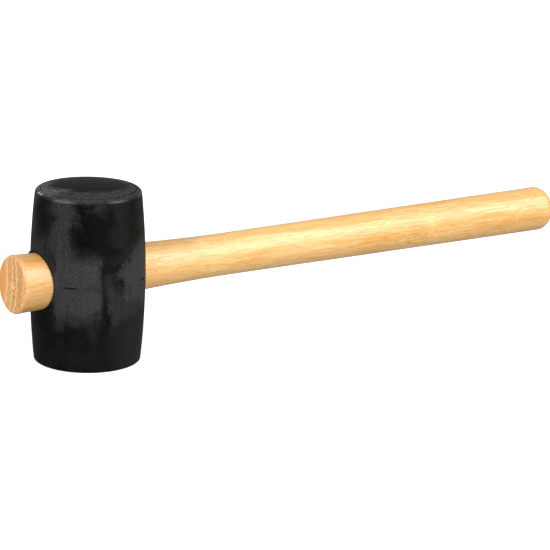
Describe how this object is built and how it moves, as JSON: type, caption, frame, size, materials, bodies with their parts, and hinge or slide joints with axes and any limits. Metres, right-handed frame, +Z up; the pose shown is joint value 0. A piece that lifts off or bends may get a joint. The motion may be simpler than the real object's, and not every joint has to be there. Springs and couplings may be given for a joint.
{
  "type": "rubber mallet",
  "caption": "Rubber mallet: a barrel-shaped black rubber head with a crowned upper face, driven onto a tapered turned wooden handle that passes right through it.",
  "frame": {"origin": "centre of the head's flat lower striking face", "axes": "+Z up the head's axis to the crowned upper face, +X along the handle to the end of its grip"},
  "size_m": [0.3806, 0.0654, 0.1006],
  "materials": {
    "rubber": "satin",
    "wood": "satin"
  },
  "bodies": {
    "root": {"head": "rubber", "handle": "wood"}
  },
  "joints": []
}
